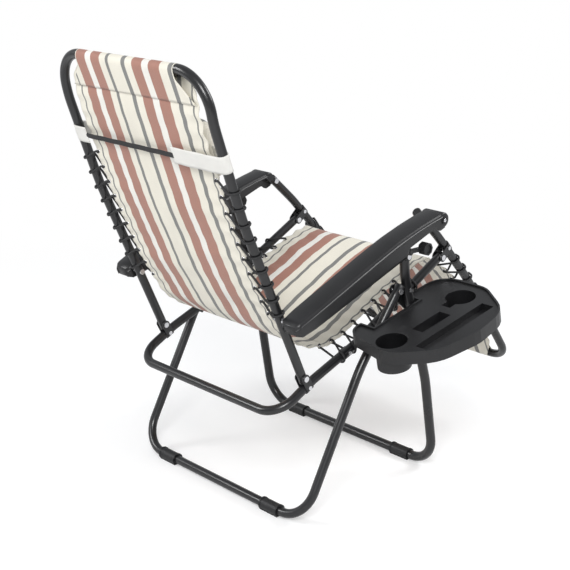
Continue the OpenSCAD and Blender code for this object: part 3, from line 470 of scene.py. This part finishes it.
def stretched_cloth(name, side, width, lace_from, seed):
    """Side view line carried across the chair, with a half width from the distances and values in
    width. Between eyelets the edge draws in by up to edge_draw x |v|^8. Ripples of eyelet_ripple x
    |v|^4 run in from the eyelets, and seven slanting sines give long shallow waves."""
    edge_draw = 0.003
    eyelet_ripple, wave_rise, stripe_sway = 0.0022, 0.0019, 0.0022
    waves, cols = 7, 113
    bell = np.hanning(11)
    line, s = even(side, cloth_step)
    line = softened(line, 2)
    half = np.interp(s, width[0], width[1])
    v = np.linspace(-1, 1, cols)
    phase = 2 * np.pi * (s - lace_from) / eyelet_pitch
    laced = (half > sling_half - 0.001).astype(float)
    laced = np.convolve(laced, bell / bell.sum(), "same")
    pull = edge_draw * (0.5 + 0.5 * np.cos(phase)) * laced
    edge = np.abs(v)[None] ** 8
    draw = edge * (edge_draw - pull[:, None]) * laced[:, None]
    y = v[None] * half[:, None] - np.sign(v)[None] * draw
    t = tangents(np.stack([line[:, 0], 0 * s, line[:, 1]], axis=1))
    n = np.stack([-t[:, 2], 0 * s, t[:, 0]], axis=1)
    rng = np.random.default_rng(seed)
    wave = np.zeros((len(s), cols))
    for _ in range(waves):
        length, slant, shift = rng.uniform(0.05, 0.16), rng.uniform(-0.5, 0.5), rng.uniform(0, 6.28)
        wave += np.sin(2 * np.pi * (s[:, None] / length + slant * v[None] * 2) + shift) / waves
    ripple = eyelet_ripple * np.cos(phase)[:, None] * np.abs(v)[None] ** 4 * laced[:, None]
    lift = ripple + wave_rise * wave * laced[:, None]
    points = np.stack([
        np.broadcast_to(line[:, :1], y.shape), y, np.broadcast_to(line[:, 1:], y.shape)], axis=-1)
    points = points + n[:, None] * lift[..., None]
    piece = mesh_piece(name, points, grid_faces(len(s), cols))
    layer = piece.data.uv_layers.new(name="cloth")
    corner = np.zeros(len(piece.data.loops), int)
    piece.data.loops.foreach_get("vertex_index", corner)
    sway = stripe_sway * np.sin(phase)[:, None] * (0.3 + np.abs(v)[None]) * laced[:, None]
    across = (0.5 - 0.5 * (y / sling_half) + sway + stripe_sway * wave).reshape(-1)
    down = np.broadcast_to(s[:, None], y.shape).reshape(-1)
    layer.data.foreach_set("uv", np.stack([across[corner], down[corner]], axis=1).ravel())
    thick = piece.modifiers.new("thick", "SOLIDIFY")
    thick.thickness = cloth_t
    thick.offset = 0
    piece.data.materials.append(sling_cloth)
    area = float(np.trapz(2 * half, s))
    return piece, (2 * sling_half, float(s[-1])), area


head_bar, head_stitch = back_side[-1], (-221, 1003)
foot_bar, foot_stitch = foot_side[-1], (781, 256)
head_round, head_back = sleeve(head_bar, head_stitch)
foot_round, foot_back = sleeve(foot_bar, foot_stitch)
seam_point = 3
upper_line = np.concatenate([
    head_back[None], head_round[::-1], mm([head_stitch]), mm(back_cloth),
    mm(seat_cloth[:seam_point + 1])])
lower_line = np.concatenate([
    mm(seat_cloth[seam_point:]), mm(foot_cloth[:-1]), mm([foot_stitch]), foot_round, foot_back[None]])
lower_len = even(lower_line, cloth_step)[1][-1]
# Half widths at distances from either end: hem_half at the very end, head_half or foot_half round the
# bar from taper_1 to taper_2, and sling_half from taper_3 on, after the slanting corner cut.
taper_1, taper_2, taper_3 = 0.055, 0.11, 0.165
hem_half, head_half, foot_half = 0.218, 0.174, 0.196
upper_lace_from, lower_lace_from = 0.31, 0.03
upper, upper_flat, upper_area = stretched_cloth(
    "sling_upper", upper_line,
    ([0, taper_1, taper_2, taper_3], [hem_half, head_half, head_half, sling_half]),
    upper_lace_from, 3)
lower, lower_flat, lower_area = stretched_cloth(
    "sling_lower", lower_line,
    ([lower_len - taper_3, lower_len - taper_2, lower_len - taper_1, lower_len],
     [sling_half, foot_half, foot_half, hem_half]),
    lower_lace_from, 5)
# Each sheet with body a up to start and body b from end on, on either side of their joint, which are
# not used: the sheet's parts in model.glb are hidden and its place is baked into its points.
for piece, flat, area, a, b, start, end, cad in (
    (upper, upper_flat, upper_area, "back", "seat", (-0.035, 0, 0.530), (0.045, 0, 0.428),
     ["sling_back"]),
    (lower, lower_flat, lower_area, "seat", "footrest", (0.470, 0, 0.528), (0.560, 0, 0.515),
     ["sling_seat", "sling_foot"]),
):
    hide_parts(*cad)
    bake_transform(piece)

# ---- Elastic lacing and eyelets ------------------------------------------------------------------
# Round elastic with a braided black cover runs through each eyelet and round the tube beside it. The
# eyelets are small rolled rings of plated steel.
cord_r, turn_r = 0.0027, 0.0141
face_lift = 0.0036
braid = finish_of("braided_elastic", (0.020, 0.020, 0.021), 0.72, 0.08, 2600, 0.0008)


def at(line, s):
    """Points of a side view line at the distances s along it."""
    d = np.concatenate([[0], np.cumsum(np.linalg.norm(np.diff(line, axis=0), axis=1))])
    return np.stack([np.interp(s, d, line[:, k]) for k in range(2)], axis=1)


def heading(line, s):
    """Unit directions of a side view line and of its normals, turned a quarter to the left."""
    reach = 0.004
    t = unit(at(line, s + reach) - at(line, s - reach))
    return t, np.stack([-t[:, 1], t[:, 0]], axis=1)


def curve_through(p, n):
    """Smooth curve through the rows of p (Catmull-Rom), n points to a span."""
    q = np.concatenate([2 * p[:1] - p[1:2], p, 2 * p[-1:] - p[-2:-1]])
    t = (np.arange(n) / n)[None, :, None]
    a, b, c, d = (q[i:len(q) - 3 + i][:, None] for i in range(4))
    out = 0.5 * (2 * b + (c - a) * t + (2 * a - 5 * b + 4 * c - d) * t**2
                 + (3 * b - a - 3 * c + d) * t**3)
    return np.concatenate([out.reshape(-1, p.shape[1]), p[-1:]])


def cord_tube(path, radius):
    """A circle carried along a cord's path, turned as little as it can be; its ends are closed."""
    sides = 8
    t = tangents(path)
    n = np.zeros_like(t)
    v = np.cross(t[0], (0.3, 1.0, 0.2))
    for i, d in enumerate(t):
        v = v - (v @ d) * d
        v = v / np.linalg.norm(v)
        n[i] = v
    b = np.cross(t, n)
    a = np.linspace(0, 2 * np.pi, sides, endpoint=False)
    ring = np.cos(a)[None, :, None] * n[:, None] + np.sin(a)[None, :, None] * b[:, None]
    return path[:, None] + radius * ring, closed_faces(len(path), sides)


def touch_angle(h):
    """Angle round the tube at which a cord from an eyelet first touches: half a turn, less the angle
    whose tangent is h over the distance across, less the angle whose cosine is the turn's radius over
    the eyelet's distance."""
    d = rail_y - eyelet_y
    return math.pi - math.atan2(h, d) - math.acos(turn_r / math.hypot(d, h))


def lacing(name, cloth_line, holes, tube_line, tube_from, side, body, cad_node):
    """Through each eyelet from face to back, then round the tube half a pitch on, and so down the
    side. Gives the eyelets' places and the cloth's normals there."""
    turn_points, turn_slant = 7, 0.001
    hole = at(cloth_line, holes)
    n = heading(cloth_line, holes)[1]
    turns_at = tube_from + holes - holes[0] + eyelet_pitch / 2
    c = at(tube_line, turns_at)
    ct, cn = heading(tube_line, turns_at)
    cn *= np.sign((cn * n).sum(1, keepdims=True))
    # The cord's way through an eyelet, as (towards the tube, off the cloth's face).
    thread = [(0.0100, face_lift), (0.0014, 0.0044), (-0.0006, 0.0018)]
    thread += [(out, -h) for out, h in reversed(thread)]
    route = []
    for i in range(len(holes)):
        for out, h in thread[0 if i else 1: None if i < len(holes) - 1 else -1]:
            route.append((hole[i, 0] + n[i, 0] * h, eyelet_y + out, hole[i, 1] + n[i, 1] * h))
        if i < len(holes) - 1:
            leave = -touch_angle((c[i] - hole[i] + n[i] * face_lift) @ cn[i])
            enter = touch_angle((hole[i + 1] + n[i + 1] * face_lift - c[i]) @ cn[i])
            for k in range(turn_points):
                r = leave + (enter - leave) * k / (turn_points - 1)
                on = k - turn_points // 2
                p = c[i] + ct[i] * on * turn_slant + cn[i] * turn_r * math.sin(r)
                route.append((p[0], rail_y + turn_r * math.cos(r), p[1]))
    path = curve_through(np.array(route), 3) * (1, side, 1)
    points, faces = cord_tube(path, cord_r)
    piece = outward(mesh_piece(name, points, faces))
    piece.data.materials.append(braid)
    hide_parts(cad_node)
    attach(piece, body)
    return hole, n


def eyelets(name, holes, normals, body):
    """Rings: a small circle turned about each hole's axis, a little taller than wide, so that it
    shows on both faces of the cloth."""
    ring_r, wire_r, tall = 0.0042, 0.0012, 1.4
    ring_sides, wire_sides = 16, 8
    a, b = np.meshgrid(np.linspace(0, 2 * np.pi, ring_sides, endpoint=False),
                       np.linspace(0, 2 * np.pi, wire_sides, endpoint=False), indexing="ij")
    e2 = np.array([0, 1, 0])
    points, faces = [], []
    for (x, z), (nx, nz) in zip(holes, normals):
        for side in (-1, 1):
            e1 = np.array([nz, 0, -nx])
            up = np.array([nx, 0, nz])
            r = (ring_r + wire_r * np.cos(b))[..., None]
            round_hole = np.cos(a)[..., None] * e1 + np.sin(a)[..., None] * e2
            p = (np.array([x, side * eyelet_y, z]) + r * round_hole
                 + tall * wire_r * np.sin(b)[..., None] * up)
            first = ring_sides * wire_sides * len(points)
            faces += [tuple(q + first) for q in grid_faces(ring_sides, wire_sides, True, True)]
            points.append(p.reshape(-1, 3))
    piece = outward(mesh_piece(name, np.concatenate(points), faces))
    piece.data.materials.append(zinc)
    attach(piece, body)


# Each panel: its cloth and tube in side view, the first eyelet's place along the cloth, how many
# eyelets, and the place along the tube from which its turns are counted.
for panel, cloth_line, first, count, tube_line, tube_from, body in (
    ("back", [head_bar] + back_cloth, 0.245, 10, back_side[::-1], 0.245, "back"),
    ("seat", seat_cloth, 0.144, 9, seat_side[::-1], 0.204, "seat"),
    ("foot", foot_cloth + [foot_bar], 0.04, 8, foot_side, 0.190, "footrest"),
):
    holes = first + eyelet_pitch * np.arange(count)
    for side, hand in ((1, "left"), (-1, "right")):
        where, normal = lacing(f"{panel}_lace_{hand}", mm(cloth_line), holes, mm(tube_line), tube_from,
                               side, body, f"{panel}_lacing_{hand}")
    eyelets(f"{panel}_eyelets", where, normal, body)

# ---- Head pillow and its straps ------------------------------------------------------------------
# A filled pad of the same striped cloth. White webbing straps go from its ends round the back tubes,
# and a black elastic joins them behind the back.
# The straps' own directions: along the tubes above their bend, and off their front.
strap_dir = unit(mm(back_side[2]) - mm(back_side[1]))
strap_front = np.array([strap_dir[1], -strap_dir[0]])
pillow_rise = 0.141
strap_at = mm(back_side[1]) + strap_dir * pillow_rise
pillow_t, pillow_h, pillow_half = 0.064, 0.160, 0.205
cloth_gap = 0.0021


def strap_point(out, y, up):
    """From (off the cloth, across, along the tubes) to the chair's frame."""
    x = strap_at[0] + strap_front[0] * out + strap_dir[0] * up
    z = strap_at[1] + strap_front[1] * out + strap_dir[1] * up
    return np.stack([x, y + 0 * x, z], axis=-1)


def pillow_shape():
    """A flattened rounded box, a little smaller than the filled pad: superellipse sections, with
    sign(cos a) x |cos a|^0.75 off the cloth, which close as the root of 1 - |v|^7 towards both ends."""
    rows, cols = 56, 40
    deep, high, half = 0.46 * pillow_t, 0.47 * pillow_h, 0.985 * pillow_half
    a = np.linspace(0, 2 * np.pi, cols, endpoint=False)
    v = np.linspace(-1, 1, rows)
    close = (1 - np.abs(v) ** 7) ** 0.5
    sx = np.sign(np.cos(a)) * np.abs(np.cos(a)) ** 0.75
    sz = np.sign(np.sin(a)) * np.abs(np.sin(a)) ** 0.62
    out = pillow_t / 2 + deep * np.outer(close, sx)
    up = high * np.outer(0.86 + 0.14 * close, sz) * np.maximum(close, 0.02)[:, None] ** 0.35
    y = half * v[:, None] + 0 * out
    return strap_point(out + cloth_gap, y, up), rows, cols


points, rows, cols = pillow_shape()
pillow = outward(mesh_piece("pillow", points, closed_faces(rows, cols)))
bpy.context.view_layer.objects.active = pillow
voxel = pillow.modifiers.new("voxels", "REMESH")
voxel.mode = "VOXEL"
voxel.voxel_size = 0.006
bpy.context.view_layer.update()
evaluated = pillow.evaluated_get(bpy.context.evaluated_depsgraph_get())
pad_mesh = bpy.data.meshes.new_from_object(evaluated)
pillow.modifiers.clear()
pillow.data = pad_mesh
start_shape = np.zeros(len(pad_mesh.vertices) * 3)
pad_mesh.vertices.foreach_get("co", start_shape)
start_shape = start_shape.reshape(-1, 3)
swell_frames, most_swell = 18, 0.007
cloth = pillow.modifiers.new("cloth", "CLOTH")
cloth.settings.use_pressure = True
cloth.settings.uniform_pressure_force = 4
cloth.settings.effector_weights.gravity = 0
cloth.settings.tension_stiffness = 12
cloth.settings.compression_stiffness = 4
cloth.settings.bending_stiffness = 0.3
for f in range(1, swell_frames + 1):
    bpy.context.scene.frame_set(f)
evaluated = pillow.evaluated_get(bpy.context.evaluated_depsgraph_get())
swollen = np.zeros(len(evaluated.data.vertices) * 3)
evaluated.data.vertices.foreach_get("co", swollen)
move = swollen.reshape(-1, 3) - start_shape
size = np.linalg.norm(move, axis=1, keepdims=True)
moved = start_shape + move * np.minimum(1, most_swell / np.maximum(size, 1e-9))
pillow.modifiers.clear()
bpy.context.scene.frame_set(1)
# What swelled into the sling is pushed back to the gap in front of it.
off = (moved[:, 0] - strap_at[0]) * strap_front[0] + (moved[:, 2] - strap_at[1]) * strap_front[1]
push = np.maximum(0, cloth_gap - off)
moved[:, 0] += push * strap_front[0]
moved[:, 2] += push * strap_front[1]
pad_mesh.vertices.foreach_set("co", moved.ravel())
pad_mesh.polygons.foreach_set("use_smooth", np.full(len(pad_mesh.polygons), True))
corner = np.zeros(len(pad_mesh.loops), int)
pad_mesh.loops.foreach_get("vertex_index", corner)
along_pad = (moved[:, 0] - strap_at[0]) * strap_dir[0] + (moved[:, 2] - strap_at[1]) * strap_dir[1]
pad_map = np.stack([0.5 - 0.5 * moved[:, 1] / sling_half, along_pad], axis=1)
pad_mesh.uv_layers.new(name="cloth").data.foreach_set("uv", pad_map[corner].ravel())
pad_mesh.materials.clear()
pad_mesh.materials.append(sling_cloth)
pad_mesh.update()
round_off = pillow.modifiers.new("smooth", "SUBSURF")
round_off.levels = round_off.render_levels = 1
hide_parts("headrest_pillow")
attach(pillow, "headrest")

webbing = finish_of("white_webbing", (0.70, 0.69, 0.655), 0.72, 0.06, 1500, 0.0008, tint=0.05)


def flat_strap(name, line, width, material, cad_node):
    """A flat band: a line across the chair carried up the tubes by its width, with edges that rise
    and fall by wave_rise x sin(distance / wave_step)."""
    strap_t, strap_step = 0.0016, 0.004
    wave_rise, wave_step, cols = 0.0006, 0.011, 9
    line, s = even(np.array(line), strap_step)
    line = softened(line, 2)
    v = np.linspace(-1, 1, cols)
    d = tangents(line)
    n = np.stack([-d[:, 1], d[:, 0]], axis=1)
    out = np.broadcast_to(line[:, :1], (len(s), cols))
    y = np.broadcast_to(line[:, 1:], (len(s), cols))
    rise = wave_rise * np.sin(s / wave_step)[:, None] * v[None] ** 2
    points = strap_point(out + n[:, :1] * rise, y + n[:, 1:] * rise, width / 2 * v[None] + 0 * out)
    piece = mesh_piece(name, points, grid_faces(len(s), cols))
    thick = piece.modifiers.new("thick", "SOLIDIFY")
    thick.thickness = strap_t
    thick.offset = 0
    piece.data.materials.append(material)
    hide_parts(cad_node)
    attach(piece, "headrest")


# Lines of the straps, as (off the tubes' centre line, across): from behind the back round the tube
# and in behind the end of the pillow.
strap_r, strap_w, elastic_w = 0.0126, 0.040, 0.012
for side, hand, reach in ((1, "left", 0.217), (-1, "right", 0.100)):
    a = np.radians(np.linspace(-90, 90, 13))
    loop = [(strap_r * math.sin(k), side * (rail_y + strap_r * math.cos(k))) for k in a]
    line = [(-strap_r, side * reach), (-strap_r, side * (rail_y - 0.005))] + loop + [
        (strap_r, side * (rail_y - 0.006)), (strap_r + 0.004, side * 0.226), (0.024, side * 0.198)]
    flat_strap(f"strap_{hand}", line, strap_w, webbing, f"headrest_tab_{hand}")
elastic_line = [(-0.0128, -0.104), (-0.0124, 0.06), (-0.0128, 0.220)]
flat_strap("strap_elastic", elastic_line, elastic_w, braid, "headrest_elastic")

# ---- Armrests ------------------------------------------------------------------------------------
# Injection moulded shells with a satin top: a blunt rear end, a back that swells to the lock and a
# rounded nose. The underside is open, and its edge is cut away where the lock lever works.
arm_rear = np.array([-0.031, 0.510])
arm_front = np.array([0.428, 0.673])
arm_y, arm_w = 0.309, 0.063
arm_dir = unit(arm_front - arm_rear)
arm_len = float(np.linalg.norm(arm_front - arm_rear))
satin_black = finish_of("satin_black", (0.011, 0.011, 0.012), 0.36, 0.07, 1300, 0.00015)
# Distances from the rear pivot, and there the top, the lower edge and the full width, in millimetres.
arm_u = mm([-22, -10, 30, 150, 250, 330, 400, 450, 487])
arm_top = mm([8, 15, 18, 24, 29, 31, 28, 23.5, 19])
arm_low = mm([-12, -19, -21, -21, -21, -21, -21, -20, -19])
arm_wide = mm([40, 58, 63, 63, 63, 63, 63, 63, 63])


def arm_place(u, y, v):
    """From (along the arm from the rear pivot, across, square to the arm) to the chair's frame."""
    x = arm_rear[0] + arm_dir[0] * u - arm_dir[1] * v
    z = arm_rear[1] + arm_dir[1] * u + arm_dir[0] * v
    return np.stack([x, y, z], axis=-1)


def arm_shell(side):
    """Sections across the arm, open below: up the inner wall, round the top and down the outer wall.
    The top is crowned by crown x (1 - m^2), and two steep steps lift the edge over the lever's bay."""
    bay_from, bay_to, bay_edge, bay_step = 0.352, 0.461, -0.004, 0.004
    corner_r, crown, draft = 0.009, 0.0022, 0.0012
    u = np.concatenate([np.linspace(-0.022, 0.03, 14), np.linspace(0.035, 0.486, 78)])
    top = np.interp(u, arm_u, arm_top)
    top = softened(np.stack([u, top], axis=1), 3)[:, 1]
    low = np.interp(u, arm_u, arm_low)
    bay = 0.5 * (np.tanh((u - bay_from) / bay_step) - np.tanh((u - bay_to) / bay_step))
    low = low + (bay_edge - low) * bay
    wide = np.interp(u, arm_u, arm_wide) / 2
    r = np.minimum(corner_r, 0.45 * (top - low))
    a = np.linspace(0, np.pi / 2, 7)
    k = np.linspace(0, 1, 9)
    up = low[:, None] + (top - r - low)[:, None] * k[None, :]
    side_y = -wide[:, None] + 0 * up + draft * (1 - k[None, :])
    corner_y = -wide[:, None] + r[:, None] * (1 - np.cos(a))[None, :]
    corner_v = (top - r)[:, None] + r[:, None] * np.sin(a)[None, :]
    m = np.linspace(-1, 1, 13)[1:-1]
    flat_y = (wide - r)[:, None] * m[None, :]
    flat_v = top[:, None] + crown * (1 - m[None, :] ** 2)
    y = np.concatenate([side_y, corner_y, flat_y, -corner_y[:, ::-1], -side_y[:, ::-1]], axis=1)
    v = np.concatenate([up, corner_v, flat_v, corner_v[:, ::-1], up[:, ::-1]], axis=1)
    return arm_place(u[:, None] + 0 * y, side * arm_y + y, v), len(u), y.shape[1]


def turned(profile_r, profile_y, steps):
    """A profile of radii and places across, turned about the front pivot line."""
    a = np.linspace(0, 2 * np.pi, steps, endpoint=False)
    u = arm_len + profile_r[:, None] * np.cos(a)[None, :]
    v = profile_r[:, None] * np.sin(a)[None, :]
    return arm_place(u, profile_y[:, None] + 0 * u, v), len(profile_y), len(a)


def arm_roll(side):
    """The closed roll of the nose: a barrel with rounded ends."""
    half = arm_w / 2 - 0.0002
    profile_y = np.array([-1, -1, -0.99, -0.95, -0.88, 0.88, 0.95, 0.99, 1, 1]) * half
    profile_r = mm([0, 12, 15, 17.5, 18.6, 18.6, 17.5, 15, 12, 0])
    return turned(profile_r, side * arm_y + profile_y, 36)


def arm_stud(side):
    """The domed rivet head on the nose's cap: a quarter of an ellipse."""
    stud_r, stud_from, stud_rise, tip_r = 0.0046, 0.0022, 0.0018, 0.00002
    a = np.linspace(0, np.pi / 2, 6)
    profile_y = arm_w / 2 + stud_from + stud_rise * np.sin(a)
    return turned(stud_r * np.cos(a) + tip_r, side * (arm_y + profile_y), 24)


def arm_heel(side):
    """The closed rear block round the rear pivot: superellipse sections that fill the shell's tail."""
    top_gap, low_gap, side_gap, squareness = 0.0016, 0.0006, 0.002, 0.35
    u = np.linspace(-0.0205, 0.0095, 10)
    top = np.interp(u, arm_u, arm_top) - top_gap
    low = np.interp(u, arm_u, arm_low) + low_gap
    wide = np.interp(u, arm_u, arm_wide) / 2 - side_gap
    a = np.linspace(0, 2 * np.pi, 36, endpoint=False)
    cy = np.sign(np.cos(a)) * np.abs(np.cos(a)) ** squareness
    cv = np.sign(np.sin(a)) * np.abs(np.sin(a)) ** squareness
    y = wide[:, None] * cy[None, :]
    v = ((top + low) / 2)[:, None] + ((top - low) / 2)[:, None] * cv[None, :]
    return arm_place(u[:, None] + 0 * y, side * arm_y + y, v), len(u), len(a)


for side, hand in ((1, "left"), (-1, "right")):
    points, rows, cols = arm_shell(side)
    shell = mesh_piece(f"arm_shell_{hand}", points, grid_faces(rows, cols)[:, ::-1])
    wall = shell.modifiers.new("wall", "SOLIDIFY")
    wall.thickness = 0.003
    wall.offset = -1
    shell.data.materials.append(satin_black)
    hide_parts(f"armrest_{hand}")
    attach(shell, f"armrest_{hand}")
    for part, material, (points, rows, cols) in (
        ("nose", satin_black, arm_roll(side)),
        ("heel", satin_black, arm_heel(side)),
        ("stud", zinc, arm_stud(side)),
    ):
        block = outward(mesh_piece(f"arm_{part}_{hand}", points, closed_faces(rows, cols)))
        block.data.materials.append(material)
        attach(block, f"armrest_{hand}")

# ---- Side tray -----------------------------------------------------------------------------------
# One black moulding with two cup wells, a notch for a mug's handle, a phone pocket and a long pocket,
# with a raised rim all round.
tray_black = finish_of("tray_black", (0.010, 0.010, 0.011), 0.40, 0.08, 1200, 0.0002)
dress(["side_tray"], tray_black)
